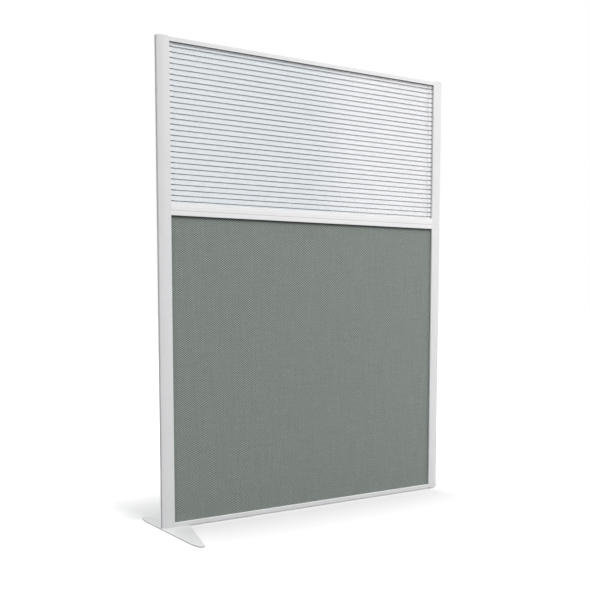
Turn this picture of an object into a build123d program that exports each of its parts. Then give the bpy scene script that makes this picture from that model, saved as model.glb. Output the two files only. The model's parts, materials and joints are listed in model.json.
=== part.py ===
from build123d import *
import os
from math import radians, tan

os.makedirs("parts", exist_ok=True)

# Overall sizes of the screen. The origin is on the floor, on the mid-plane of
# the frame, under the middle of the left post. X runs along the screen, -Y is
# the front and Z is up.
overall_height = 1800.0
overall_width = 1360.0
frame_depth = 28.0

# Heights of the visible stack: bottom rail, fabric, mid rail; the window takes the rest
edge_rail_height = 16.0
fabric_opening = 1143.5
mid_rail_height = 45.0

# Post extrusion: flat beside the infill, bowed flank, flat nose with the link channel
post_width = 48.0
post_flat = 20.0
nose_width = 18.0
post_wall = 1.8
edge_radius = 0.8
link_channel_width = 10.0
link_channel_depth = 9.0
post_slot_depth = 12.0

# Slots that hold the infill
slot_width = 15.0
rail_slot_depth = 8.5
rail_wall = 1.6
infill_grip = 6.5
post_grip = 10.0

# Decorative grooves along the mid rail, heights above its bottom edge
groove_width = 1.2
groove_depth = 0.8
groove_low = 18.0
groove_high = 34.5

# Twin-wall sheet of the window
sheet_thickness = 10.0
sheet_skin = 0.8
rib_thickness = 0.8
rib_pitch = 19.6
first_rib_above_rail = 7.8
gasket_height = 5.5
gasket_inset = 0.6
gasket_clearance = 0.05

# Acoustic panel: board, foam and cloth
board_thickness = 8.0
foam_thickness = 2.4
cloth_thickness = 0.6
cloth_wrap = 6.0

# Packers under the sheet and under the panel
packer_thickness = 2.0
packer_length = 80.0
packer_place_shares = (0.25, 0.75)

# Corner blocks: a body in the post and a tongue in the rail
block_height = 40.0
block_clearance = 0.15
tongue_width = 14.0
tongue_reach = 32.0
tongue_clearance = 0.1
notch_clearance = 0.2
block_hole_spacing = 15.0

# Screws
channel_screw_radius = 1.75
channel_screw_head_radius = 4.0
channel_screw_head_height = 2.6
rail_screw_length = 64.0
block_screw_length = 8.0
block_screw_rise = 25.0
block_screw_end_gap = 0.5
clearance_hole_radius = 1.95
screw_port_wall = 2.2
thread_clearance = 0.05
corner_screw_radius = 1.75
corner_screw_head_radius = 3.3
corner_screw_length = 5.2
corner_screw_inset = 15.0
foot_screw_radius = 3.0
foot_screw_head_radius = 5.8
foot_screw_length = 24.0
foot_screw_recess = 0.3
foot_hole_radius = 3.3
socket_radius = 1.6
socket_depth = 1.6
socket_sides = 6
sink_angle = 90.0
sink_clearance = 0.2

# Caps on the posts
cap_thickness = 2.5
cap_slope_length = 12.0
cap_slope_drop = 1.6
cap_edge = 0.6
peg_radius = 3.0
peg_clearance = 0.1
peg_length = 12.0

# Foot plate, seen from above: outer edge, two rounded tips, inner point
foot_thickness = 5.0
foot_overhang = 6.0
foot_front_bend = 265.0
foot_front_corner = 338.0
foot_back_bend = 151.0
foot_back_corner = 224.0
foot_corner_setback = 20.5
foot_inner_reach = 65.0
foot_tip_radius = 13.0
foot_tip_straight = 2.8
foot_inner_radius = 40.0
foot_edge = 0.6

# Levelling glide under the right post
glide_pad_radius = 15.0
glide_pad_height = 4.6
glide_floor = 1.2
glide_key_radius = 2.6
glide_edge = 0.6
stem_radius = 4.0
stem_clearance = 0.05
stem_block_clearance = 0.2
stem_length = 32.0
stem_flange_radius = 6.0
stem_flange_height = 2.2
stem_socket_flats = 4.0
stem_socket_depth = 4.0
insert_radius = 6.5
insert_length = 16.0

# Places that follow from the sizes above
post_half = post_width / 2
half_depth = frame_depth / 2
nose_half = nose_width / 2
flank_start = post_half - post_flat
slot_half = slot_width / 2
frame_bottom = foot_thickness
frame_top = overall_height - cap_thickness
post_height = frame_top - frame_bottom
post_pitch = overall_width - post_width
rail_start = post_half
rail_length = post_pitch - post_width
rail_end = rail_start + rail_length
mirror_plane = Plane.YZ.offset(post_pitch / 2)

bottom_rail_top = frame_bottom + edge_rail_height
mid_rail_bottom = bottom_rail_top + fabric_opening
mid_rail_top = mid_rail_bottom + mid_rail_height
top_rail_bottom = frame_top - edge_rail_height

link_floor = link_channel_depth - post_half
post_slot_floor = post_half - post_slot_depth
chamber_start = link_floor + post_wall
chamber_end = post_slot_floor - post_wall
chamber_length = chamber_end - chamber_start
chamber_middle = (chamber_start + chamber_end) / 2

infill_left = post_half - post_grip
infill_right = post_pitch - infill_left
infill_width = infill_right - infill_left
infill_middle = (infill_left + infill_right) / 2
sheet_bottom = mid_rail_top - rail_slot_depth + packer_thickness
sheet_top = top_rail_bottom + infill_grip
sheet_height = sheet_top - sheet_bottom
panel_bottom = bottom_rail_top - rail_slot_depth + packer_thickness
panel_top = mid_rail_bottom + infill_grip
panel_height = panel_top - panel_bottom
panel_thickness = board_thickness + 2 * (foam_thickness + cloth_thickness)

rail_web = edge_rail_height - rail_slot_depth
rail_chamber_height = rail_web - 2 * rail_wall
rail_chamber_width = frame_depth - 2 * rail_wall
pocket_width = half_depth - slot_half - 2 * rail_wall
pocket_height = rail_slot_depth - rail_wall
pocket_y = slot_half + rail_wall + pocket_width / 2
port_radius = channel_screw_radius + thread_clearance
port_block = 2 * (port_radius + screw_port_wall)
paired_places = (-block_hole_spacing / 2, block_hole_spacing / 2)


# Post section

with BuildSketch() as post_outline:
    with BuildLine():
        Line((post_half, -half_depth), (flank_start, -half_depth))
        TangentArc((flank_start, -half_depth), (-post_half, -nose_half), tangent=(-1, 0))
        Line((-post_half, -nose_half), (-post_half, nose_half))
        TangentArc((flank_start, half_depth), (-post_half, nose_half), tangent=(-1, 0))
        Line((flank_start, half_depth), (post_half, half_depth))
        Line((post_half, half_depth), (post_half, -half_depth))
    make_face()
    sharp = post_outline.vertices().filter_by_position(Axis.X, -post_half, -post_half)
    sharp += post_outline.vertices().filter_by_position(Axis.X, post_half, post_half)
    fillet(sharp, radius=edge_radius)

with BuildSketch() as post_chamber:
    add(post_outline.sketch)
    offset(amount=-post_wall)
    with Locations((chamber_middle, 0)):
        Rectangle(chamber_length, frame_depth, mode=Mode.INTERSECT)

with BuildSketch() as post_section:
    add(post_outline.sketch)
    add(post_chamber.sketch, mode=Mode.SUBTRACT)
    with Locations((link_floor - link_channel_depth / 2, 0)):
        Rectangle(link_channel_depth, link_channel_width, mode=Mode.SUBTRACT)
    with Locations((post_slot_floor + post_slot_depth / 2, 0)):
        Rectangle(post_slot_depth, slot_width, mode=Mode.SUBTRACT)
    side_pocket = post_slot_depth - post_wall
    with Locations(
        (post_slot_floor + side_pocket / 2, pocket_y),
        (post_slot_floor + side_pocket / 2, -pocket_y),
    ):
        Rectangle(side_pocket, pocket_width, mode=Mode.SUBTRACT)


# Posts, with holes for the mid rail's screws and notches for the corner blocks

port_rise = rail_slot_depth + rail_wall + port_block / 2
mid_screw_heights = (mid_rail_bottom + port_rise, mid_rail_top - port_rise)
block_screw_heights = (frame_bottom + block_screw_rise, frame_top - block_screw_rise)
tongue_height = rail_chamber_height - 2 * tongue_clearance
bottom_tongue_middle = frame_bottom + rail_wall + rail_chamber_height / 2
top_tongue_middle = frame_top - rail_wall - rail_chamber_height / 2

with BuildPart() as left_post:
    with BuildSketch(Plane.XY.offset(frame_bottom)):
        add(post_section.sketch)
    extrude(amount=post_height)
    with BuildSketch(Plane.YZ.offset(-post_half)):
        with Locations(*[(0, height) for height in mid_screw_heights]):
            Circle(clearance_hole_radius)
    extrude(amount=post_width, mode=Mode.SUBTRACT)
    with BuildSketch(Plane.YZ.offset(-post_half)):
        with Locations(*[(0, height) for height in block_screw_heights]):
            Circle(clearance_hole_radius)
    extrude(amount=link_channel_depth + post_wall, mode=Mode.SUBTRACT)
    with BuildSketch(Plane.YZ.offset(chamber_end)):
        with Locations((0, bottom_tongue_middle), (0, top_tongue_middle)):
            Rectangle(
                tongue_width + 2 * notch_clearance,
                tongue_height + 2 * notch_clearance,
            )
    extrude(amount=post_slot_depth, mode=Mode.SUBTRACT)

with BuildPart() as right_post:
    mirror(left_post.part, about=mirror_plane)


# Rails


def cut_slot_and_pockets(open_edge, inward):
    """Cuts an infill slot, with a hollow pocket in each lip, into a rail section."""
    with Locations((0, open_edge - inward * rail_slot_depth / 2)):
        Rectangle(slot_width, rail_slot_depth, mode=Mode.SUBTRACT)
    pocket_z = open_edge - inward * (rail_wall + pocket_height / 2)
    with Locations((pocket_y, pocket_z), (-pocket_y, pocket_z)):
        Rectangle(pocket_width, pocket_height, mode=Mode.SUBTRACT)


def edge_rail(outer_edge, inward):
    """The rail that closes the frame at outer_edge, with its slot facing inward."""
    chamber_z = outer_edge + inward * rail_web / 2
    with BuildPart() as rail:
        with BuildSketch(Plane.YZ.offset(rail_start)):
            with Locations((0, outer_edge + inward * edge_rail_height / 2)):
                RectangleRounded(frame_depth, edge_rail_height, edge_radius)
            cut_slot_and_pockets(outer_edge + inward * edge_rail_height, inward)
            with Locations((0, chamber_z)):
                Rectangle(rail_chamber_width, rail_chamber_height, mode=Mode.SUBTRACT)
        extrude(amount=rail_length)
        sink_plane = Plane(
            origin=(rail_start, 0, outer_edge), x_dir=(1, 0, 0), z_dir=(0, 0, -inward)
        )
        with Locations(sink_plane):
            with Locations(
                (corner_screw_inset, 0), (rail_length - corner_screw_inset, 0)
            ):
                CounterSinkHole(
                    radius=clearance_hole_radius,
                    counter_sink_radius=corner_screw_head_radius + sink_clearance,
                    depth=rail_wall,
                    counter_sink_angle=sink_angle,
                )
    return rail


bottom_rail = edge_rail(frame_bottom, 1)
top_rail = edge_rail(frame_top, -1)

with BuildPart() as mid_rail:
    mid_rail_middle = (mid_rail_bottom + mid_rail_top) / 2
    chamber_height = mid_rail_height - 2 * (rail_slot_depth + rail_wall)
    with BuildSketch(Plane.YZ.offset(rail_start)):
        with Locations((0, mid_rail_middle)):
            RectangleRounded(frame_depth, mid_rail_height, edge_radius)
        cut_slot_and_pockets(mid_rail_top, 1)
        cut_slot_and_pockets(mid_rail_bottom, -1)
        with Locations((0, mid_rail_middle)):
            Rectangle(rail_chamber_width, chamber_height, mode=Mode.SUBTRACT)
        with Locations(*[(0, height) for height in mid_screw_heights]):
            Rectangle(port_block, port_block)
            Circle(port_radius, mode=Mode.SUBTRACT)
        with Locations(
            (-half_depth, mid_rail_bottom + groove_low),
            (-half_depth, mid_rail_bottom + groove_high),
            (half_depth, mid_rail_bottom + groove_low),
            (half_depth, mid_rail_bottom + groove_high),
        ):
            Rectangle(2 * groove_depth, groove_width, mode=Mode.SUBTRACT)
    extrude(amount=rail_length)


# Screws


def pan_head_screw(seat, height, direction, length):
    """A screw along X whose head sits on the floor of a link channel at X = seat."""
    with BuildPart() as screw:
        with BuildSketch(Plane.YZ.offset(seat)):
            with Locations((0, height)):
                Circle(channel_screw_radius)
        extrude(amount=direction * length)
        with BuildSketch(Plane.YZ.offset(seat)):
            with Locations((0, height)):
                Circle(channel_screw_head_radius)
        extrude(amount=-direction * channel_screw_head_height)
        head_rims = screw.edges().filter_by(GeomType.CIRCLE).sort_by(Axis.X)
        fillet(head_rims[::direction][0], radius=channel_screw_head_height / 2)
        with BuildSketch(Plane.YZ.offset(seat - direction * channel_screw_head_height)):
            with Locations((0, height)):
                RegularPolygon(socket_radius, socket_sides)
        extrude(amount=direction * socket_depth, mode=Mode.SUBTRACT)
    return screw.part


def sunk_screw(centre, up, radius, head_radius, length):
    """A countersunk screw along Z with its flat head at centre, pointing up or down."""
    head_height = (head_radius - radius) / tan(radians(sink_angle / 2))
    plane = Plane(origin=centre, x_dir=(1, 0, 0), z_dir=(0, 0, up))
    with BuildPart() as screw:
        with BuildSketch(plane):
            Circle(head_radius)
        with BuildSketch(plane.offset(head_height)):
            Circle(radius)
        loft(ruled=True)
        with BuildSketch(plane):
            Circle(radius)
        extrude(amount=length)
        with BuildSketch(plane):
            RegularPolygon(socket_radius, socket_sides)
        extrude(amount=socket_depth, mode=Mode.SUBTRACT)
    return screw.part


channel_seats = ((link_floor, 1), (post_pitch - link_floor, -1))
loose_mid_screws = []
for height in mid_screw_heights:
    for seat, direction in channel_seats:
        loose_mid_screws.append(
            pan_head_screw(seat, height, direction, rail_screw_length)
        )
loose_block_screws = []
for height in block_screw_heights:
    for seat, direction in channel_seats:
        loose_block_screws.append(
            pan_head_screw(seat, height, direction, block_screw_length)
        )
loose_corner_screws = []
for place_x in (rail_start + corner_screw_inset, rail_end - corner_screw_inset):
    for height, up in ((frame_bottom, 1), (frame_top, -1)):
        loose_corner_screws.append(
            sunk_screw(
                (place_x, 0, height),
                up,
                corner_screw_radius,
                corner_screw_head_radius,
                corner_screw_length,
            )
        )
loose_foot_screws = []
for place_y in paired_places:
    loose_foot_screws.append(
        sunk_screw(
            (chamber_middle, place_y, foot_screw_recess),
            1,
            foot_screw_radius,
            foot_screw_head_radius,
            foot_screw_length,
        )
    )

with BuildPart() as mid_rail_screws:
    add(loose_mid_screws)

with BuildPart() as block_screws:
    add(loose_block_screws)

with BuildPart() as corner_screws:
    add(loose_corner_screws)

with BuildPart() as foot_screws:
    add(loose_foot_screws)


# Corner blocks

with BuildSketch() as block_section:
    add(post_chamber.sketch)
    offset(amount=-block_clearance)


def corner_block(bottom, tongue_middle, screw_height, hole_radius, hole_places):
    """A block in the left post's chamber, with its tongue reaching into the rail."""
    block_start = chamber_start + block_clearance
    block_end = chamber_end - block_clearance
    with BuildPart() as block:
        with BuildSketch(Plane.XY.offset(bottom)):
            add(block_section.sketch)
        extrude(amount=block_height)
        with BuildSketch(Plane.YZ.offset(block_end)):
            with Locations((0, tongue_middle)):
                Rectangle(tongue_width, tongue_height)
        extrude(amount=rail_start + tongue_reach - block_end)
        with BuildSketch(Plane.XY.offset(bottom)):
            with Locations(*[(chamber_middle, place_y) for place_y in hole_places]):
                Circle(hole_radius)
        extrude(amount=block_height, mode=Mode.SUBTRACT)
        with BuildSketch(Plane.XY.offset(tongue_middle - tongue_height / 2)):
            with Locations((rail_start + corner_screw_inset, 0)):
                Circle(corner_screw_radius + thread_clearance)
        extrude(amount=tongue_height, mode=Mode.SUBTRACT)
        screw_end = link_floor + block_screw_length + block_screw_end_gap
        with BuildSketch(Plane.YZ.offset(block_start)):
            with Locations((0, screw_height)):
                Circle(port_radius)
        extrude(amount=screw_end - block_start, mode=Mode.SUBTRACT)
    return block


head_bottom = frame_top - block_height
left_base_block = corner_block(
    frame_bottom,
    bottom_tongue_middle,
    block_screw_heights[0],
    foot_screw_radius + thread_clearance,
    paired_places,
)
left_head_block = corner_block(
    head_bottom,
    top_tongue_middle,
    block_screw_heights[1],
    peg_radius + peg_clearance,
    paired_places,
)
stem_block = corner_block(
    frame_bottom,
    bottom_tongue_middle,
    block_screw_heights[0],
    stem_radius + stem_block_clearance,
    (0,),
)

glide_x = post_pitch - chamber_middle
with BuildPart() as right_base_block:
    mirror(stem_block.part, about=mirror_plane)
    with BuildSketch(Plane.XY.offset(frame_bottom)):
        with Locations((glide_x, 0)):
            Circle(insert_radius)
    extrude(amount=insert_length, mode=Mode.SUBTRACT)

with BuildPart() as right_head_block:
    mirror(left_head_block.part, about=mirror_plane)


# Caps

with BuildPart() as left_post_cap:
    with BuildSketch(Plane.XY.offset(frame_top)):
        add(post_outline.sketch)
    extrude(amount=cap_thickness)
    fillet(left_post_cap.faces().sort_by(Axis.Z)[-1].edges(), radius=cap_edge)
    with BuildSketch(Plane.XZ):
        with BuildLine():
            Polyline(
                (post_half, overall_height),
                (post_half, overall_height - cap_slope_drop),
                (post_half - cap_slope_length, overall_height),
                close=True,
            )
        make_face()
    extrude(amount=frame_depth, both=True, mode=Mode.SUBTRACT)
    with BuildSketch(Plane.XY.offset(frame_top)):
        with Locations(*[(chamber_middle, place_y) for place_y in paired_places]):
            Circle(peg_radius)
    extrude(amount=-peg_length)

with BuildPart() as right_post_cap:
    mirror(left_post_cap.part, about=mirror_plane)


# Window: twin-wall sheet, gaskets and packers

first_rib = mid_rail_top + first_rib_above_rail
rib_count = int((sheet_top - first_rib) // rib_pitch) + 1
rib_heights = [first_rib + number * rib_pitch for number in range(rib_count)]

with BuildPart() as window_sheet:
    with BuildSketch(Plane.YZ.offset(infill_left)):
        with Locations((0, (sheet_bottom + sheet_top) / 2)):
            Rectangle(sheet_thickness, sheet_height)
            Rectangle(
                sheet_thickness - 2 * sheet_skin,
                sheet_height - 2 * rib_thickness,
                mode=Mode.SUBTRACT,
            )
        with Locations(*[(0, height) for height in rib_heights]):
            Rectangle(sheet_thickness, rib_thickness)
    extrude(amount=infill_width)

gasket_thickness = (slot_width - sheet_thickness) / 2 - 2 * gasket_clearance
gasket_y = (slot_half + sheet_thickness / 2) / 2
gasket_reach = gasket_inset + gasket_height / 2


def gasket_strips(place_y):
    """Four strips that line the slots on one side of the sheet."""
    with BuildPart() as strips:
        with BuildSketch(Plane.YZ.offset(rail_start)):
            with Locations(
                (place_y, mid_rail_top - gasket_reach),
                (place_y, top_rail_bottom + gasket_reach),
            ):
                Rectangle(gasket_thickness, gasket_height)
        extrude(amount=rail_length)
        with BuildSketch(Plane.XY.offset(sheet_bottom)):
            with Locations(
                (post_half - gasket_reach, place_y), (rail_end + gasket_reach, place_y)
            ):
                Rectangle(gasket_height, gasket_thickness)
        extrude(amount=sheet_height)
    return strips


gasket_front = gasket_strips(-gasket_y)
gasket_back = gasket_strips(gasket_y)


def packers(floor, width):
    """Packers that stand on a slot's floor under a sheet or panel."""
    with BuildPart() as pair:
        with BuildSketch(Plane.XY.offset(floor)):
            with Locations(
                *[(infill_left + share * infill_width, 0) for share in packer_place_shares]
            ):
                Rectangle(packer_length, width)
        extrude(amount=packer_thickness)
    return pair


sheet_packers = packers(mid_rail_top - rail_slot_depth, sheet_thickness)
panel_packers = packers(bottom_rail_top - rail_slot_depth, panel_thickness)


# Acoustic panel: board between two foams, each covered by stretched cloth

core_width = infill_width - 2 * cloth_thickness
core_height = panel_height - 2 * cloth_thickness
panel_middle = (panel_bottom + panel_top) / 2


def slab(front, thickness):
    """A rectangular layer of the panel whose front face is at front."""
    with BuildPart() as layer:
        with BuildSketch(Plane.XZ.offset(-front)):
            with Locations((infill_middle, panel_middle)):
                Rectangle(core_width, core_height)
        extrude(amount=-thickness)
    return layer


board_half = board_thickness / 2
panel_half = panel_thickness / 2
core_board = slab(-board_half, board_thickness)
foam_front = slab(-board_half - foam_thickness, foam_thickness)
foam_back = slab(board_half, foam_thickness)

with BuildPart() as fabric_front:
    with BuildSketch(Plane.XZ.offset(panel_half)):
        with Locations((infill_middle, panel_middle)):
            Rectangle(infill_width, panel_height)
    extrude(amount=-cloth_wrap)
    with BuildSketch(Plane.XZ.offset(panel_half - cloth_thickness)):
        with Locations((infill_middle, panel_middle)):
            Rectangle(core_width, core_height)
    extrude(amount=-cloth_wrap, mode=Mode.SUBTRACT)

with BuildPart() as fabric_back:
    mirror(fabric_front.part, about=Plane.XZ)


# Foot plate

foot_outer = -post_half - foot_overhang
foot_inner = Vector(post_half + foot_inner_reach, 0)


def bend_and_tip(bend_y, corner_y):
    """A bend and the tip after it, as points and radii, with a short straight between their arcs."""
    bend = Vector(foot_outer, bend_y)
    corner = Vector(foot_outer + foot_corner_setback, corner_y)
    slant = corner - bend
    tip_turn = slant.get_angle(foot_inner - corner)
    bend_turn = slant.get_angle(Vector(0, corner_y))
    tip_room = foot_tip_radius * tan(radians(tip_turn / 2))
    bend_room = slant.length - tip_room - foot_tip_straight
    bend_radius = bend_room / tan(radians(bend_turn / 2))
    return [(bend, bend_radius), (corner, foot_tip_radius)]


foot_points = [
    *bend_and_tip(-foot_front_bend, -foot_front_corner),
    (foot_inner, foot_inner_radius),
    *reversed(bend_and_tip(foot_back_bend, foot_back_corner)),
]

with BuildPart() as foot_plate:
    with BuildSketch() as foot_outline:
        with BuildLine():
            Polyline(*[point for point, radius in foot_points], close=True)
        make_face()
        for point, radius in foot_points:
            corner = foot_outline.vertices().sort_by_distance(point)[0]
            fillet(corner, radius=radius)
    extrude(amount=foot_thickness)
    chamfer(foot_plate.faces().sort_by(Axis.Z)[-1].edges(), length=foot_edge)
    underside = Plane(origin=(0, 0, 0), x_dir=(1, 0, 0), z_dir=(0, 0, -1))
    with Locations(underside):
        with Locations(*[(chamber_middle, place_y) for place_y in paired_places]):
            CounterSinkHole(
                radius=foot_hole_radius,
                counter_sink_radius=foot_screw_head_radius + foot_screw_recess + sink_clearance,
                depth=foot_thickness,
                counter_sink_angle=sink_angle,
            )


# Levelling glide: threaded insert, stem and pad

with BuildPart() as glide_insert:
    with BuildSketch(Plane.XY.offset(frame_bottom)):
        with Locations((glide_x, 0)):
            Circle(insert_radius)
            Circle(stem_radius + stem_clearance, mode=Mode.SUBTRACT)
    extrude(amount=insert_length)

flange_room = stem_flange_height + 2 * stem_clearance
with BuildPart() as glide_pad:
    with BuildSketch():
        with Locations((glide_x, 0)):
            Circle(glide_pad_radius)
    extrude(amount=glide_pad_height)
    fillet(glide_pad.faces().sort_by(Axis.Z)[-1].edges(), radius=glide_edge)
    with BuildSketch():
        with Locations((glide_x, 0)):
            Circle(glide_key_radius)
    extrude(amount=glide_pad_height, mode=Mode.SUBTRACT)
    with BuildSketch(Plane.XY.offset(glide_floor)):
        with Locations((glide_x, 0)):
            Circle(stem_flange_radius + stem_clearance)
    extrude(amount=flange_room, mode=Mode.SUBTRACT)
    with BuildSketch(Plane.XY.offset(glide_floor)):
        with Locations((glide_x, 0)):
            Circle(stem_radius + stem_clearance)
    extrude(amount=glide_pad_height, mode=Mode.SUBTRACT)

stem_bottom = glide_floor + stem_clearance
with BuildPart() as glide_stem:
    with BuildSketch(Plane.XY.offset(stem_bottom)):
        with Locations((glide_x, 0)):
            Circle(stem_flange_radius)
    extrude(amount=stem_flange_height)
    with BuildSketch(Plane.XY.offset(stem_bottom)):
        with Locations((glide_x, 0)):
            Circle(stem_radius)
    extrude(amount=stem_length)
    with BuildSketch(Plane.XY.offset(stem_bottom)):
        with Locations((glide_x, 0)):
            RegularPolygon(stem_socket_flats / 2, socket_sides, major_radius=False)
    extrude(amount=stem_socket_depth, mode=Mode.SUBTRACT)


pieces = {
    "left_post": left_post,
    "right_post": right_post,
    "top_rail": top_rail,
    "mid_rail": mid_rail,
    "bottom_rail": bottom_rail,
    "left_post_cap": left_post_cap,
    "right_post_cap": right_post_cap,
    "left_base_block": left_base_block,
    "right_base_block": right_base_block,
    "left_head_block": left_head_block,
    "right_head_block": right_head_block,
    "mid_rail_screws": mid_rail_screws,
    "block_screws": block_screws,
    "corner_screws": corner_screws,
    "window_sheet": window_sheet,
    "gasket_front": gasket_front,
    "gasket_back": gasket_back,
    "sheet_packers": sheet_packers,
    "core_board": core_board,
    "foam_front": foam_front,
    "foam_back": foam_back,
    "fabric_front": fabric_front,
    "fabric_back": fabric_back,
    "panel_packers": panel_packers,
    "foot_plate": foot_plate,
    "foot_screws": foot_screws,
    "glide_insert": glide_insert,
    "glide_pad": glide_pad,
    "glide_stem": glide_stem,
}

for name, piece in pieces.items():
    piece.part.label = name
    export_step(piece.part, f"parts/{name}.step")
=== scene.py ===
import bpy
import bmesh
import json
from math import cos, pi, sin
from mathutils import Euler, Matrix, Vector, noise

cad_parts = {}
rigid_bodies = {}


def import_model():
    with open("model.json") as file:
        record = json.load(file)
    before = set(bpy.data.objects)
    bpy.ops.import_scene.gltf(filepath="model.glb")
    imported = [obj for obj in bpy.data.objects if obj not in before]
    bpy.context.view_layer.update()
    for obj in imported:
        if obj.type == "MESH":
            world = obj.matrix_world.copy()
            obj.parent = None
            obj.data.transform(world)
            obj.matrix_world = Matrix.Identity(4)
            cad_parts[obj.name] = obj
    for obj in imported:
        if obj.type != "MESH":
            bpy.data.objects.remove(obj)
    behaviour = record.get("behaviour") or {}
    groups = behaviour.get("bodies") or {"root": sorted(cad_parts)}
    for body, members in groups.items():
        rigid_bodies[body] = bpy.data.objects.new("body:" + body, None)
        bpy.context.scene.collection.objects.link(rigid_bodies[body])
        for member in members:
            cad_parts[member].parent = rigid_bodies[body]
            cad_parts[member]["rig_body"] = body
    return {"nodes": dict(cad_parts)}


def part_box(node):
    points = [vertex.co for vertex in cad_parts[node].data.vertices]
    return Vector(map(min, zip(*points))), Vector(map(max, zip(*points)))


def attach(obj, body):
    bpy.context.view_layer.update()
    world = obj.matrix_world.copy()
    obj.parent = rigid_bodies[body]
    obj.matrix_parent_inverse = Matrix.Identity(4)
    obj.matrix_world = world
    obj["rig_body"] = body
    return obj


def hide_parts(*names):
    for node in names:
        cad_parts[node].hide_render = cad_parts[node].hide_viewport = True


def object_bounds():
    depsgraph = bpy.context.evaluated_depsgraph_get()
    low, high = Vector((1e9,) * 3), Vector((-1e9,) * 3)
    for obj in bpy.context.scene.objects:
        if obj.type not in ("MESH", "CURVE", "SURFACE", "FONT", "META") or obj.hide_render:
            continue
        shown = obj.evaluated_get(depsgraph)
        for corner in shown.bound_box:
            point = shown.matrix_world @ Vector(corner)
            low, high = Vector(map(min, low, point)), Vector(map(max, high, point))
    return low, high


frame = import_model()
cad_low, cad_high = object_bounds()

# Camera, from the photograph's perspective. All lengths are in metres.
image_pixels = 590
focal_pixels = 904.0
camera_place = (-1.4345, -3.0448, 0.8755)
camera_pitch = 0.08877
camera_yaw = 0.58290
horizon_centre_pixel = (295.0, 375.08)
sensor_width_mm = 36.0

# Light: an even surround, and soft lamps overhead, on the front right, at both sides and behind
surround_colour = (0.97, 0.985, 1.0)
surround_strength = 0.43
seen_surround_colour = (1.0, 1.0, 1.0)
seen_surround_strength = 1.0
lamp_target = (0.66, 0.0, 0.9)
# Each lamp: name, place, width and height, power in watts, colour
lamps = (
    ("overhead", (0.66, -0.5, 7.0), (5.0, 5.0), 236.0, (1.0, 0.995, 0.99)),
    ("front", (3.6, -3.2, 4.6), (3.0, 2.0), 138.0, (1.0, 0.995, 0.99)),
    ("side", (4.62, -3.75, 2.3), (1.9, 2.3), 13.0, (1.0, 0.78, 0.75)),
    ("fill", (-4.4, -2.2, 3.4), (3.0, 3.0), 27.0, (1.0, 0.995, 0.99)),
    ("back", (-0.8, 4.6, 5.2), (3.4, 3.0), 62.0, (1.0, 0.995, 0.99)),
)

# Floor. Where it is looked at it also glows, least along the screen and more with the distance
# from it, so that the shadow at the screen fades into a white floor.
floor_half_size = 30.0
floor_colour = (0.68, 0.68, 0.68)
glow_near = 0.155
glow_far = 0.85
glow_reach = (0.0, 1.3)
# How fast the distance counts: behind the screen with its square, and past the screen's ends,
# which are taken a little inside their real place
glow_back_rise = 1.68
glow_end_rise = 5.0
glow_end_inset = 0.0615
# Left of the foot plate the floor is bright up to the plate, more softly so at its back tip
glow_foot_rise = 14.0
glow_foot_fade = 0.09
# Right under the bottom rail it is a little brighter than beside it
glow_under_rail = 0.12
glow_under_reach = (0.014, 0.03)

# Plain surfaces have clouds of colour, a fine grain and smears of gloss. Noise scales are in
# waves to the metre, and noise is used between its usual lowest and highest values.
noise_low, noise_middle, noise_high = 0.3, 0.5, 0.7
noise_roughness = 0.5
plain_detail = 2.0
fine_detail = 3.0
cloud_scale = 5.0
grain_tones = (0.985, 1.015)
grain_bump = 0.35
smear_scale = 40.0
smear_stretch = (1.0, 1.0, 0.2)
# Each surface: light and dark colour, lowest and highest roughness, scale and height of the grain
surfaces = {
    "powder_coat": ((0.788, 0.791, 0.798), (0.768, 0.771, 0.779), (0.36, 0.48), 1300.0, 0.00006),
    # The coats of the rails and the foot plate are the posts' powder coat, each made a little
    # lighter or darker as painted light and shade
    "rail_coat": ((0.755, 0.758, 0.765), (0.735, 0.738, 0.745), (0.34, 0.46), 1300.0, 0.00006),
    "top_rail_painted_shade_coat": ((0.79, 0.793, 0.80), (0.77, 0.773, 0.78), (0.34, 0.46), 1300.0, 0.00006),
    "mid_rail_painted_light_coat": ((0.895, 0.898, 0.905), (0.875, 0.878, 0.885), (0.34, 0.46), 1300.0, 0.00006),
    "foot_painted_shade_coat": ((0.795, 0.798, 0.803), (0.775, 0.778, 0.783), (0.34, 0.46), 1300.0, 0.00006),
    "cap_plastic": ((0.70, 0.705, 0.71), (0.67, 0.676, 0.683), (0.42, 0.55), 2200.0, 0.00004),
    "packer_plastic": ((0.05, 0.05, 0.052), (0.035, 0.035, 0.037), (0.45, 0.6), 1500.0, 0.00006),
    "pad_plastic": ((0.62, 0.625, 0.63), (0.56, 0.565, 0.57), (0.45, 0.6), 1500.0, 0.00006),
    "gasket_rubber": ((0.60, 0.61, 0.62), (0.52, 0.53, 0.54), (0.6, 0.8), 1800.0, 0.00008),
    "cast_aluminium": ((0.62, 0.62, 0.63), (0.5, 0.5, 0.51), (0.45, 0.62), 700.0, 0.0001),
    "fibre_board": ((0.42, 0.31, 0.2), (0.32, 0.22, 0.13), (0.75, 0.9), 900.0, 0.0002),
    "open_foam": ((0.10, 0.10, 0.105), (0.06, 0.06, 0.065), (0.85, 0.98), 1100.0, 0.0006),
}
# Metal or sheen, where a surface has any
surface_weights = {
    "cast_aluminium": {"Metallic": 1.0},
    "open_foam": {"Sheen Weight": 0.2},
}

# Zinc-plated steel with fine lines along its length
zinc_colours = ((0.66, 0.67, 0.68), (0.5, 0.51, 0.52))
zinc_rough = (0.25, 0.42)
brush_scale = 600.0
brush_stretch = (1.0, 1.0, 0.05)
brush_detail = 4.0
brush_height = 0.00003
brush_bump = 0.3

# Cloth of the panel, with faint waves that start at another place in the noise on each side
cloth_thickness = 0.0006
cloth_fold_radius = 0.0022
cloth_grid_step = 0.02
cloth_fold_steps = 4
cloth_wave_height = 0.00025
cloth_wave_length = 0.16
cloth_wave_offsets = {"fabric_front": 3.0, "fabric_back": 11.0}

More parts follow.
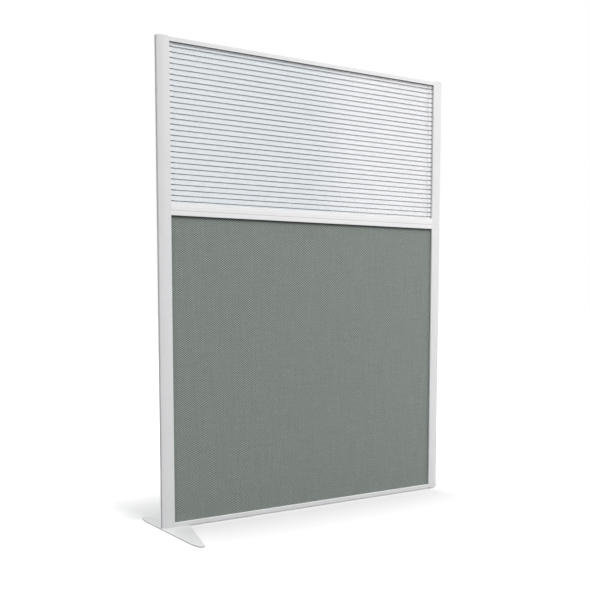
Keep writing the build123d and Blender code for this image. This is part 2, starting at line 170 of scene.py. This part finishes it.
# Weave of the cloth: pitches of the yarns, how many lie together, and how far they wander
warp_pitch = 0.003105
weft_pitch = 0.003479
weave_skew = 0.0359
warps_together = 2
wefts_together = 1
wander_scale = 90.0
warp_wander_share = 0.06
weft_wander_share = 0.05
crossing_softness = 0.12
yarn_roundness = 0.6
yarn_dip_share = 0.5
yarn_relief = 0.0006
yarn_bump = 0.6
fibre_height = 0.0001
fibre_bump = 0.3

# Colour of the cloth: warps and wefts, darker in the hollows as painted shade, with tones from
# four kinds of noise
warp_colour = (0.40, 0.453, 0.416)
weft_colour = (0.113, 0.130, 0.120)
hollow_tone = 0.52
crest_tone_gain = 0.6
fibre_scale = 2600.0
fibre_stretch = (1.0, 1.0, 0.35)
fibre_tones = (0.9, 1.1)
streak_scale = 320.0
streak_stretch = (1.0, 1.0, 0.02)
streak_tones = (0.94, 1.06)
slub_scale = 290.0
slub_stretch = (0.03, 1.0, 1.0)
slub_tones = (0.95, 1.05)
heather_tones = (0.97, 1.03)
cloth_rough = (0.82, 0.95)
cloth_sheen = 0.25
cloth_sheen_rough = 0.5
cloth_specular = 0.2

# Painted shade on the cloth where it is tucked into the frame, and a dark painted shadow line just
# under the mid rail
cloth_edge_reach = 0.022
cloth_edge_shade = 0.84
cloth_shadow_line_reach = 0.013
cloth_shadow_line_height = 0.004
cloth_shadow_line_shade = 0.25

# Painted light and shade along the mid rail: a painted highlight at the upper groove, and painted
# shade in the lower one with a painted highlight on a lip under it. Each line: its height above
# the rail's lower edge, half its width, and its tone.
mid_rail_painted_lines = (
    (0.0345, 0.0014, 1.09),
    (0.0180, 0.0008, 0.78),
    (0.0148, 0.0010, 1.05),
)
line_fade = 0.0010
# Painted shade: the mid rail darker towards its lower edge
mid_rail_low_shade = 0.96

# Bottom rail: a painted highlight along its top edge
bottom_lip_half = 0.0012
bottom_lip_painted_highlight = 1.30

# Posts, darker towards the floor as painted shade, and the foot plate's edge darker as painted
# shade
post_shade_height = 1.0
post_low_shade = 0.925
foot_edge_drop = 0.0006
foot_edge_shade = 0.66

# Underside of the top rail and the strip of gasket in it, in shadow
top_lip_reach = 0.0006
top_lip_shade = 0.2
top_strip_height = 0.010
top_strip_shade = 0.1

# Foam under the cloth
foam_edge_radius = 0.0008
foam_edge_segments = 2

# Twin-wall sheet of the window: two skins, and ribs with a wider root at each skin
skin_thickness = 0.0008
skin_dish = 0.00012
skin_steps_per_flute = 6
rib_thickness = 0.0008
rib_root_thickness = 0.0031
rib_root_depth = 0.0012
rib_pitch = 0.0196
first_rib_above_sheet = 0.0143

# Plastics of the sheet, with faint lines along it. Each: two colours, lowest and highest
# roughness, and how clear it is.
clear_plastics = {
    "clear_skins": ((0.89, 0.912, 0.932), (0.905, 0.925, 0.942), (0.08, 0.15), 0.95),
    "grey_ribs": ((0.012, 0.014, 0.016), (0.024, 0.026, 0.028), (0.3, 0.45), 0.02),
}
drawn_scale = 260.0
drawn_stretch = (0.01, 1.0, 1.0)
drawn_height = 0.00004
drawn_bump = 0.2
haze_scale = 14.0
plastic_refraction = 1.58

# Painted shadow on the sheet under the top rail: a dark line where it enters the rail, and a soft
# painted shade below it
sheet_shadow_line_reach = 0.0018
sheet_shadow_line_height = 0.0012
sheet_shadow_line_shade = 0.12
sheet_shade_reach = 0.026
sheet_shade = 0.95

# Milky edges of the sheet, where its ribs show as dark marks. An edge's values: how far in it
# reaches on both skins, the fade after that, and how much further in it reaches on the front one.
sheet_end_seal = (0.0085, 0.002, 0.009)
sheet_top_seal = (0.003, 0.002, 0.0)
sheet_seal_transmission = 0.05
rib_mark_half = 0.0016
rib_mark_fade = 0.0020
rib_mark_shade = 0.06


# Node trees


def start_material(name):
    material = bpy.data.materials.new(name)
    material.use_nodes = True
    return material, material.node_tree, material.node_tree.nodes["Principled BSDF"]


def put(tree, kind, **settings):
    node = tree.nodes.new(kind)
    for key, value in settings.items():
        setattr(node, key, value)
    return node


def plug(tree, source, target):
    """Links an output to an input, or sets the input where the source is a number."""
    if isinstance(source, (int, float, tuple)):
        target.default_value = source
    else:
        tree.links.new(source, target)


def maths(tree, operation, first, second=0.0, third=0.0):
    node = put(tree, "ShaderNodeMath", operation=operation)
    for value, socket in zip((first, second, third), node.inputs):
        plug(tree, value, socket)
    return node.outputs["Value"]


def object_place(tree):
    return put(tree, "ShaderNodeTexCoord").outputs["Object"]


def split_place(tree):
    """The place on the object as separate X, Y and Z."""
    node = put(tree, "ShaderNodeSeparateXYZ")
    plug(tree, object_place(tree), node.inputs["Vector"])
    return node.outputs


def stretched(tree, place, scale):
    node = put(tree, "ShaderNodeMapping")
    plug(tree, place, node.inputs["Vector"])
    node.inputs["Scale"].default_value = scale
    return node.outputs["Vector"]


def noise_at(tree, place, scale, detail=plain_detail):
    node = put(tree, "ShaderNodeTexNoise")
    plug(tree, place, node.inputs["Vector"])
    node.inputs["Scale"].default_value = scale
    node.inputs["Detail"].default_value = detail
    node.inputs["Roughness"].default_value = noise_roughness
    return node.outputs["Fac"]


def spread(tree, value, low, high, from_low=noise_low, from_high=noise_high):
    """The value taken from one range to another, and held at both ends."""
    node = put(tree, "ShaderNodeMapRange")
    plug(tree, value, node.inputs["Value"])
    node.inputs["From Min"].default_value = from_low
    node.inputs["From Max"].default_value = from_high
    node.inputs["To Min"].default_value = low
    node.inputs["To Max"].default_value = high
    return node.outputs["Result"]


def blend_colours(tree, factor, first, second):
    node = put(tree, "ShaderNodeMix", data_type="RGBA")
    plug(tree, factor, node.inputs[0])
    plug(tree, rgba(first), node.inputs[6])
    plug(tree, rgba(second), node.inputs[7])
    return node.outputs[2]


def tint(tree, colour, factor):
    """The colour with its brightness times factor."""
    node = put(tree, "ShaderNodeVectorMath", operation="SCALE")
    plug(tree, colour, node.inputs[0])
    plug(tree, factor, node.inputs["Scale"])
    return node.outputs["Vector"]


def relief(tree, height, distance, strength, under=None):
    node = put(tree, "ShaderNodeBump")
    node.inputs["Strength"].default_value = strength
    node.inputs["Distance"].default_value = distance
    plug(tree, height, node.inputs["Height"])
    if under is not None:
        plug(tree, under, node.inputs["Normal"])
    return node.outputs["Normal"]


def rgba(colour):
    return (*colour, 1.0)


# Materials


def speckled(name, light, dark, rough, grain_scale, grain_height):
    """A surface with cloudy colour, fine grain and uneven gloss."""
    material, tree, shader = start_material(name)
    place = object_place(tree)
    clouds = noise_at(tree, place, cloud_scale, detail=fine_detail)
    grain = noise_at(tree, place, grain_scale)
    colour = blend_colours(tree, spread(tree, clouds, 0.0, 1.0), light, dark)
    colour = tint(tree, colour, spread(tree, grain, *grain_tones))
    plug(tree, colour, shader.inputs["Base Color"])
    smears = noise_at(tree, stretched(tree, place, smear_stretch), smear_scale)
    plug(tree, spread(tree, smears, *rough), shader.inputs["Roughness"])
    plug(tree, relief(tree, grain, grain_height, grain_bump), shader.inputs["Normal"])
    for socket, weight in surface_weights.get(name, {}).items():
        shader.inputs[socket].default_value = weight
    return material


def brushed(name, light, dark, rough, along):
    """Bare metal with fine lines along one direction."""
    material, tree, shader = start_material(name)
    along_place = stretched(tree, object_place(tree), along)
    lines = noise_at(tree, along_place, brush_scale, detail=brush_detail)
    colour = blend_colours(tree, spread(tree, lines, 0.0, 1.0), light, dark)
    plug(tree, colour, shader.inputs["Base Color"])
    plug(tree, spread(tree, lines, *rough), shader.inputs["Roughness"])
    plug(tree, relief(tree, lines, brush_height, brush_bump), shader.inputs["Normal"])
    shader.inputs["Metallic"].default_value = 1.0
    return material


def clear_plastic(name, first_colour, second_colour, rough, transmission):
    """Extruded clear plastic with faint lines along the sheet."""
    material, tree, shader = start_material(name)
    place = object_place(tree)
    drawn = noise_at(tree, stretched(tree, place, drawn_stretch), drawn_scale, detail=fine_detail)
    haze = noise_at(tree, place, haze_scale)
    colour = blend_colours(tree, spread(tree, drawn, 0.0, 1.0), first_colour, second_colour)
    plug(tree, colour, shader.inputs["Base Color"])
    plug(tree, spread(tree, haze, *rough), shader.inputs["Roughness"])
    plug(tree, relief(tree, drawn, drawn_height, drawn_bump), shader.inputs["Normal"])
    shader.inputs["Transmission Weight"].default_value = transmission
    shader.inputs["IOR"].default_value = plastic_refraction
    return material


def yarn_height(tree, along, across):
    """Height of a yarn that is round along its length and dips where it goes under another."""
    dip = maths(tree, "MULTIPLY_ADD", across, yarn_dip_share, 1.0 - yarn_dip_share)
    return maths(tree, "MULTIPLY", maths(tree, "POWER", along, yarn_roundness), dip)


def woven(name):
    """Oxford weave of thick yarns: pairs of upright warps over and under single wefts."""
    material, tree, shader = start_material(name)
    place = object_place(tree)
    split = split_place(tree)
    wander = maths(tree, "SUBTRACT", noise_at(tree, place, wander_scale), noise_middle)
    across = maths(tree, "DIVIDE", split["X"], warp_pitch)
    across = maths(tree, "MULTIPLY_ADD", wander, warp_wander_share, across)
    lean = maths(tree, "MULTIPLY", split["X"], weave_skew)
    upward = maths(tree, "DIVIDE", maths(tree, "SUBTRACT", split["Z"], lean), weft_pitch)
    upward = maths(tree, "MULTIPLY_ADD", wander, weft_wander_share, upward)

    # Yarn bodies, and which yarn lies on top
    warp_body = maths(tree, "ABSOLUTE", maths(tree, "SINE", maths(tree, "MULTIPLY", across, pi)))
    weft_body = maths(tree, "ABSOLUTE", maths(tree, "SINE", maths(tree, "MULTIPLY", upward, pi)))
    crossing = maths(
        tree,
        "MULTIPLY",
        maths(tree, "SINE", maths(tree, "MULTIPLY", across, pi / warps_together)),
        maths(tree, "SINE", maths(tree, "MULTIPLY", upward, pi / wefts_together)),
    )
    warp_on_top = spread(tree, crossing, 0.0, 1.0, -crossing_softness, crossing_softness)
    weft_on_top = maths(tree, "SUBTRACT", 1.0, warp_on_top)
    warp_part = maths(tree, "MULTIPLY", yarn_height(tree, warp_body, weft_body), warp_on_top)
    weft_height = yarn_height(tree, weft_body, warp_body)
    height = maths(tree, "MULTIPLY_ADD", weft_height, weft_on_top, warp_part)

    # Noise in the colour: one value for each crossing, fibres, upright streaks and level slubs
    cell = put(tree, "ShaderNodeCombineXYZ")
    for steps, together, socket in (
        (across, warps_together, "X"),
        (upward, wefts_together, "Y"),
    ):
        group = maths(tree, "FLOOR", maths(tree, "DIVIDE", steps, together))
        plug(tree, group, cell.inputs[socket])
    heather = put(tree, "ShaderNodeTexWhiteNoise", noise_dimensions="2D")
    plug(tree, cell.outputs["Vector"], heather.inputs["Vector"])
    fibre_place = stretched(tree, place, fibre_stretch)
    fibres = noise_at(tree, fibre_place, fibre_scale, detail=fine_detail)
    streaks = noise_at(tree, stretched(tree, place, streak_stretch), streak_scale)
    slubs = noise_at(tree, stretched(tree, place, slub_stretch), slub_scale)

    colour = blend_colours(tree, warp_on_top, weft_colour, warp_colour)
    # Painted shade: darker where the yarns dip into the hollows
    shade = maths(tree, "MULTIPLY_ADD", height, crest_tone_gain, hollow_tone)
    colour = tint(tree, colour, shade)
    colour = tint(tree, colour, spread(tree, streaks, *streak_tones))
    colour = tint(tree, colour, spread(tree, slubs, *slub_tones))
    colour = tint(tree, colour, spread(tree, fibres, *fibre_tones))
    heather_tone = spread(tree, heather.outputs["Value"], *heather_tones, 0.0, 1.0)
    plug(tree, tint(tree, colour, heather_tone), shader.inputs["Base Color"])
    plug(tree, spread(tree, fibres, *cloth_rough), shader.inputs["Roughness"])
    normal = relief(tree, height, yarn_relief, yarn_bump)
    normal = relief(tree, fibres, fibre_height, fibre_bump, under=normal)
    plug(tree, normal, shader.inputs["Normal"])
    shader.inputs["Sheen Weight"].default_value = cloth_sheen
    shader.inputs["Sheen Roughness"].default_value = cloth_sheen_rough
    shader.inputs["Specular IOR Level"].default_value = cloth_specular
    return material


def tone(material, factor):
    """Multiplies a material's colour so far by a factor."""
    tree = material.node_tree
    colour = tree.nodes["Principled BSDF"].inputs["Base Color"]
    plug(tree, tint(tree, colour.links[0].from_socket, factor), colour)


def darken(material, axis, start, end, shade):
    """Darkens a material's colour along an axis, from full colour at start to shade at end."""
    tree = material.node_tree
    tone(material, spread(tree, split_place(tree)[axis], 1.0, shade, start, end))


def tone_line(material, height, half, shade):
    """Draws a level line of another tone in a material's colour."""
    tree = material.node_tree
    away = maths(tree, "SUBTRACT", split_place(tree)["Z"], height)
    away = maths(tree, "ABSOLUTE", away)
    tone(material, spread(tree, away, shade, 1.0, half, half + line_fade))


def seal_edges(material, edges, first_rib_height):
    """Makes a clear sheet milky along some edges, where its ribs show as dark marks."""
    tree = material.node_tree
    place = split_place(tree)
    on_front = maths(tree, "LESS_THAN", place["Y"], 0.0)
    clear = 1.0
    for axis, edge, inward, (depth, fade, front_extra) in edges:
        from_edge = maths(tree, "SUBTRACT", place[axis], edge)
        from_edge = maths(tree, "MULTIPLY", from_edge, inward)
        extra = maths(tree, "MULTIPLY", on_front, front_extra)
        from_edge = maths(tree, "SUBTRACT", from_edge, extra)
        clear_here = spread(tree, from_edge, 0.0, 1.0, depth, depth + fade)
        clear = maths(tree, "MINIMUM", clear_here, clear)
    share = tree.nodes["Principled BSDF"].inputs["Transmission Weight"]
    clearest = share.default_value
    plug(tree, spread(tree, clear, sheet_seal_transmission, clearest, 0.0, 1.0), share)
    above = maths(tree, "SUBTRACT", place["Z"], first_rib_height)
    away = maths(tree, "PINGPONG", above, rib_pitch / 2)
    mark = spread(tree, away, rib_mark_shade, 1.0, rib_mark_half, rib_mark_fade)
    tone(material, maths(tree, "MAXIMUM", mark, clear))


plain = {name: speckled(name, *look) for name, look in surfaces.items()}
zinc = brushed("zinc_plate", *zinc_colours, zinc_rough, brush_stretch)
cloth = woven("grey_weave")
skin_plastic, rib_plastic = [
    clear_plastic(name, *look) for name, look in clear_plastics.items()
]

node_materials = {
    "left_post": plain["powder_coat"],
    "right_post": plain["powder_coat"],
    # The rails and the foot plate take the copies of the powder coat that are lighter or darker as
    # painted light and shade
    "top_rail": plain["top_rail_painted_shade_coat"],
    "mid_rail": plain["mid_rail_painted_light_coat"],
    "bottom_rail": plain["rail_coat"],
    "foot_plate": plain["foot_painted_shade_coat"],
    "left_post_cap": plain["cap_plastic"],
    "right_post_cap": plain["cap_plastic"],
    "left_base_block": plain["cast_aluminium"],
    "right_base_block": plain["cast_aluminium"],
    "left_head_block": plain["cast_aluminium"],
    "right_head_block": plain["cast_aluminium"],
    "mid_rail_screws": zinc,
    "block_screws": zinc,
    "corner_screws": zinc,
    "foot_screws": zinc,
    "glide_insert": zinc,
    "glide_stem": zinc,
    "gasket_front": plain["gasket_rubber"],
    "gasket_back": plain["gasket_rubber"],
    "sheet_packers": plain["packer_plastic"],
    "panel_packers": plain["packer_plastic"],
    "glide_pad": plain["pad_plastic"],
    "core_board": plain["fibre_board"],
}
for name, material in node_materials.items():
    shape = frame["nodes"][name].data
    shape.materials.clear()
    shape.materials.append(material)


# Painted shade and highlights where pieces meet, at places taken from the solids

window_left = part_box("left_post")[1].x
window_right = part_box("right_post")[0].x
top_rail_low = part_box("top_rail")[0].z
mid_rail_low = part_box("mid_rail")[0].z
mid_rail_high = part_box("mid_rail")[1].z
bottom_rail_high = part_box("bottom_rail")[1].z
foot_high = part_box("foot_plate")[1].z
foot_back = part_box("foot_plate")[1].y
sheet_low, sheet_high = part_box("window_sheet")

rib_heights = []
rib_height = sheet_low.z + first_rib_above_sheet
while rib_height < sheet_high.z:
    rib_heights.append(rib_height)
    rib_height += rib_pitch

seal_edges(
    skin_plastic,
    (
        ("X", window_left, 1, sheet_end_seal),
        ("X", window_right, -1, sheet_end_seal),
        ("Z", top_rail_low, -1, sheet_top_seal),
    ),
    rib_heights[0],
)

sheet_shadow_line_low = top_rail_low - sheet_shadow_line_reach
sheet_shadow_line_high = top_rail_low - sheet_shadow_line_height
sheet_shade_low = top_rail_low - sheet_shade_reach
cloth_shadow_line_low = mid_rail_low - cloth_shadow_line_reach
cloth_shadow_line_high = mid_rail_low - cloth_shadow_line_height
# Painted shade, each: material, axis, where its colour is full, where it is darkest, and how dark
# that is
shadings = (
    (plain["gasket_rubber"], "Z", top_rail_low - top_strip_height, top_rail_low, top_strip_shade),
    (skin_plastic, "Z", sheet_shadow_line_low, sheet_shadow_line_high, sheet_shadow_line_shade),
    (skin_plastic, "Z", sheet_shade_low, sheet_shadow_line_low, sheet_shade),
    (plain["top_rail_painted_shade_coat"], "Z", top_rail_low + top_lip_reach, top_rail_low, top_lip_shade),
    (plain["mid_rail_painted_light_coat"], "Z", mid_rail_high, mid_rail_low, mid_rail_low_shade),
    (plain["powder_coat"], "Z", post_shade_height, 0.0, post_low_shade),
    (plain["foot_painted_shade_coat"], "Z", foot_high, foot_high - foot_edge_drop, foot_edge_shade),
    (cloth, "Z", mid_rail_low - cloth_edge_reach, mid_rail_low, cloth_edge_shade),
    (cloth, "X", window_left + cloth_edge_reach, window_left, cloth_edge_shade),
    (cloth, "X", window_right - cloth_edge_reach, window_right, cloth_edge_shade),
    (cloth, "Z", cloth_shadow_line_low, cloth_shadow_line_high, cloth_shadow_line_shade),
)
for material, axis, start, end, shade in shadings:
    darken(material, axis, start, end, shade)
# Painted highlights and shade along the mid rail's grooves, and a painted highlight along the
# bottom rail's top edge
for rise, half, shade in mid_rail_painted_lines:
    tone_line(plain["mid_rail_painted_light_coat"], mid_rail_low + rise, half, shade)
tone_line(plain["rail_coat"], bottom_rail_high, bottom_lip_half, bottom_lip_painted_highlight)


# Meshes


def shown(name, mesh, material, node):
    """A piece in the part's own frame that rides on its solid's body."""
    mesh.materials.append(material)
    piece = bpy.data.objects.new(name, mesh)
    bpy.context.scene.collection.objects.link(piece)
    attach(piece, frame["nodes"][node]["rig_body"])
    return piece


def mesh_of(name, vertices, faces, smooth=False):
    """A mesh from its vertices and faces."""
    mesh = bpy.data.meshes.new(name)
    mesh.from_pydata(vertices, [], faces)
    if smooth:
        mesh.polygons.foreach_set("use_smooth", [True] * len(mesh.polygons))
    return mesh


def prisms(loops, start, end):
    """Vertices and faces of closed profiles in Y and Z, drawn out along X."""
    vertices, faces = [], []
    for loop in loops:
        first, count = len(vertices), len(loop)
        vertices += [(start, y, z) for y, z in loop]
        vertices += [(end, y, z) for y, z in loop]
        for number in range(count):
            after = (number + 1) % count
            faces.append(
                (
                    first + number,
                    first + after,
                    first + count + after,
                    first + count + number,
                )
            )
        faces.append(tuple(first + number for number in reversed(range(count))))
        faces.append(tuple(first + count + number for number in range(count)))
    return vertices, faces


def skin_loop(side):
    """Profile of one skin, dished a little between the ribs."""
    outer_y = side * sheet_high.y
    step = rib_pitch / skin_steps_per_flute
    count = int((sheet_high.z - sheet_low.z) / step)
    outside, inside = [], []
    for number in range(count + 1):
        height = sheet_low.z + (sheet_high.z - sheet_low.z) * number / count
        phase = (height - rib_heights[0]) / rib_pitch
        dish = side * skin_dish * sin(pi * phase) ** 2
        outside.append((outer_y - dish, height))
        inside.append((outer_y - dish - side * skin_thickness, height))
    loop = outside + inside[::-1]
    return loop if side > 0 else loop[::-1]


def mirrored(upper, height):
    """A closed profile from its upper half, which runs from back to front."""
    lower = [(y, -z) for y, z in reversed(upper)]
    return [(y, height + z) for y, z in upper + lower]


def rib_profiles(height):
    """Profiles of one rib, wider where it meets the skins: front root, and web with back root."""
    reach = sheet_high.y - skin_thickness - skin_dish
    thin, thick = rib_thickness / 2, rib_root_thickness / 2
    waist = reach - rib_root_depth
    front_root = mirrored([(-waist, thin), (-reach, thick)], height)
    web = mirrored([(reach, thick), (waist, thin), (-waist, thin)], height)
    return front_root, web


skins = [skin_loop(side) for side in (-1, 1)]
front_roots, webs = zip(*[rib_profiles(height) for height in rib_heights])
window_pieces = [
    shown(
        name,
        mesh_of(name, *prisms(loops, sheet_low.x, sheet_high.x)),
        material,
        "window_sheet",
    )
    for name, loops, material in (
        ("window_skins", skins, skin_plastic),
        ("window_rib_roots", front_roots, rib_plastic),
        ("window_ribs", webs, skin_plastic),
    )
]
for piece in window_pieces:
    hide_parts("window_sheet")


def folded(length, wrap, radius):
    """Stations across a cloth whose ends fold back: (place along the face, depth behind it)."""
    angles = [pi / 2 * number / cloth_fold_steps for number in range(cloth_fold_steps)]
    arc = [(radius - radius * cos(angle), radius - radius * sin(angle)) for angle in angles]
    start = [(0.0, wrap)] + arc
    count = int(length / cloth_grid_step)
    inner = length - 2 * radius
    face = [(radius + inner * number / count, 0.0) for number in range(count + 1)]
    end = [(length - place, depth) for place, depth in reversed(start)]
    return start + face + end


def cloth_sheet(name, node, side):
    """Cloth stretched over one side of the panel, its edges folded round the board."""
    low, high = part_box(node)
    wrap = high.y - low.y - cloth_thickness
    across = folded(high.x - low.x, wrap, cloth_fold_radius)
    upward = folded(high.z - low.z, wrap, cloth_fold_radius)
    outer_y = high.y if side > 0 else low.y
    drift = Vector((cloth_wave_offsets[node], 0.0, 0.0))
    vertices, kept = [], {}
    for row, (z, z_depth) in enumerate(upward):
        for column, (x, x_depth) in enumerate(across):
            depth = min(wrap, x_depth + z_depth)
            if x_depth == 0.0 and z_depth == 0.0:
                spot = Vector((x, 0.0, z)) / cloth_wave_length + drift
                depth = cloth_wave_height * (1.0 + noise.noise(spot))
            kept[row, column] = len(vertices)
            vertices.append((low.x + x, outer_y - side * depth, low.z + z))
    # The corners of the wrapped edge stay open, where the folds of two sides meet
    faces = []
    last_row, last_column = len(upward) - 2, len(across) - 2
    for row in range(last_row + 1):
        for column in range(last_column + 1):
            at_corner = row in (0, last_row) and column in (0, last_column)
            if not at_corner:
                quad = (
                    kept[row, column],
                    kept[row, column + 1],
                    kept[row + 1, column + 1],
                    kept[row + 1, column],
                )
                faces.append(quad if side < 0 else quad[::-1])
    mesh = mesh_of(name, vertices, faces, smooth=True)
    piece = shown(name, mesh, cloth, node)
    solid = piece.modifiers.new("cloth thickness", "SOLIDIFY")
    solid.thickness = cloth_thickness
    solid.offset = -1.0
    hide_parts(node)


cloth_sheet("cloth_front", "fabric_front", -1)
cloth_sheet("cloth_back", "fabric_back", 1)


def foam_pad(name, node):
    """A layer of foam with softened edges."""
    low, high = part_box(node)
    builder = bmesh.new()
    bmesh.ops.create_cube(builder, size=1.0)
    bmesh.ops.scale(builder, vec=high - low, verts=builder.verts)
    bmesh.ops.translate(builder, vec=(high + low) / 2, verts=builder.verts)
    bmesh.ops.bevel(
        builder,
        geom=builder.edges[:],
        offset=foam_edge_radius,
        segments=foam_edge_segments,
        affect="EDGES",
    )
    mesh = bpy.data.meshes.new(name)
    builder.to_mesh(mesh)
    builder.free()
    piece = shown(name, mesh, plain["open_foam"], node)
    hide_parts(node)


foam_pad("foam_layer_front", "foam_front")
foam_pad("foam_layer_back", "foam_back")


# Floor, surround and lamps


def seen_directly(tree):
    """1 where the camera, a reflection or a see-through piece looks, 0 for plain light."""
    rays = put(tree, "ShaderNodeLightPath").outputs
    total = maths(tree, "ADD", rays["Is Camera Ray"], rays["Is Glossy Ray"])
    total = maths(tree, "ADD", total, rays["Is Transmission Ray"])
    return maths(tree, "MINIMUM", total, 1.0)


def glow_strength(tree):
    """The floor's glow, from the distance to the screen."""
    place = split_place(tree)
    past_middle = maths(tree, "SUBTRACT", place["X"], (cad_low.x + cad_high.x) / 2)
    half_length = (cad_high.x - cad_low.x) / 2 - glow_end_inset
    past_end = maths(tree, "SUBTRACT", maths(tree, "ABSOLUTE", past_middle), half_length)
    past_end = maths(tree, "MAXIMUM", past_end, 0.0)

    # 1 left of the foot plate, which fades to 0 at its back tip
    foot_start = foot_back - glow_foot_fade
    beside_foot = spread(tree, place["Y"], 1.0, 0.0, foot_start, foot_back)
    at_foot_end = maths(tree, "LESS_THAN", past_middle, 0.0)
    beside_foot = maths(tree, "MULTIPLY", beside_foot, at_foot_end)
    end_rise = spread(tree, beside_foot, glow_end_rise, glow_foot_rise, 0.0, 1.0)

    behind = maths(tree, "MAXIMUM", place["Y"], 0.0)
    behind = maths(tree, "MULTIPLY", behind, behind)
    in_front = maths(tree, "MINIMUM", place["Y"], 0.0)
    across = maths(tree, "MULTIPLY_ADD", behind, glow_back_rise, in_front)
    away = put(tree, "ShaderNodeCombineXYZ")
    plug(tree, maths(tree, "MULTIPLY", past_end, end_rise), away.inputs["X"])
    plug(tree, across, away.inputs["Y"])
    distance = put(tree, "ShaderNodeVectorMath", operation="LENGTH")
    plug(tree, away.outputs["Vector"], distance.inputs[0])
    strength = spread(tree, distance.outputs["Value"], glow_near, glow_far, *glow_reach)
    off_middle = maths(tree, "ABSOLUTE", place["Y"])
    under_rail = spread(tree, off_middle, glow_under_rail, 0.0, *glow_under_reach)
    return maths(tree, "ADD", strength, under_rail)


floor_corners = ((-1, -1), (1, -1), (1, 1), (-1, 1))
floor_mesh = mesh_of(
    "floor",
    [(x * floor_half_size, y * floor_half_size, 0.0) for x, y in floor_corners],
    [(0, 1, 2, 3)],
)
floor = bpy.data.objects.new("floor", floor_mesh)
bpy.context.scene.collection.objects.link(floor)

floor_material = bpy.data.materials.new("pale_floor")
floor_material.use_nodes = True
floor_tree = floor_material.node_tree
floor_tree.nodes.clear()
matt = put(floor_tree, "ShaderNodeBsdfDiffuse")
matt.inputs["Color"].default_value = rgba(floor_colour)
glow = put(floor_tree, "ShaderNodeEmission")
seen_glow = maths(
    floor_tree, "MULTIPLY", seen_directly(floor_tree), glow_strength(floor_tree)
)
plug(floor_tree, seen_glow, glow.inputs["Strength"])
both = put(floor_tree, "ShaderNodeAddShader")
plug(floor_tree, matt.outputs[0], both.inputs[0])
plug(floor_tree, glow.outputs[0], both.inputs[1])
floor_output = put(floor_tree, "ShaderNodeOutputMaterial")
plug(floor_tree, both.outputs[0], floor_output.inputs["Surface"])
floor_mesh.materials.append(floor_material)

world = bpy.data.worlds.new("studio")
bpy.context.scene.world = world
world.use_nodes = True
world_tree = world.node_tree
world_tree.nodes.clear()
chosen = put(world_tree, "ShaderNodeMixShader")
plug(world_tree, seen_directly(world_tree), chosen.inputs[0])
for colour, strength, socket in (
    (surround_colour, surround_strength, chosen.inputs[1]),
    (seen_surround_colour, seen_surround_strength, chosen.inputs[2]),
):
    background = put(world_tree, "ShaderNodeBackground")
    background.inputs["Color"].default_value = rgba(colour)
    background.inputs["Strength"].default_value = strength
    plug(world_tree, background.outputs[0], socket)
world_output = put(world_tree, "ShaderNodeOutputWorld")
plug(world_tree, chosen.outputs[0], world_output.inputs["Surface"])

for name, place, (lamp_width, lamp_height), power, colour in lamps:
    lamp_data = bpy.data.lights.new(name, "AREA")
    lamp_data.shape = "RECTANGLE"
    lamp_data.size = lamp_width
    lamp_data.size_y = lamp_height
    lamp_data.energy = power
    lamp_data.color = colour
    lamp = bpy.data.objects.new(name, lamp_data)
    bpy.context.scene.collection.objects.link(lamp)
    lamp.location = place
    aim = Vector(lamp_target) - Vector(place)
    lamp.rotation_euler = aim.to_track_quat("-Z", "Y").to_euler()


# Camera

camera_data = bpy.data.cameras.new("camera")
camera_data.sensor_width = sensor_width_mm
camera_data.lens = focal_pixels / image_pixels * sensor_width_mm
camera_data.shift_x = (image_pixels / 2 - horizon_centre_pixel[0]) / image_pixels
camera_data.shift_y = (horizon_centre_pixel[1] - image_pixels / 2) / image_pixels
camera = bpy.data.objects.new("camera", camera_data)
bpy.context.scene.collection.objects.link(camera)
camera.location = camera_place
camera.rotation_euler = Euler((pi / 2 - camera_pitch, 0.0, -camera_yaw))
bpy.context.scene.camera = camera
bpy.context.scene.view_settings.view_transform = "Standard"
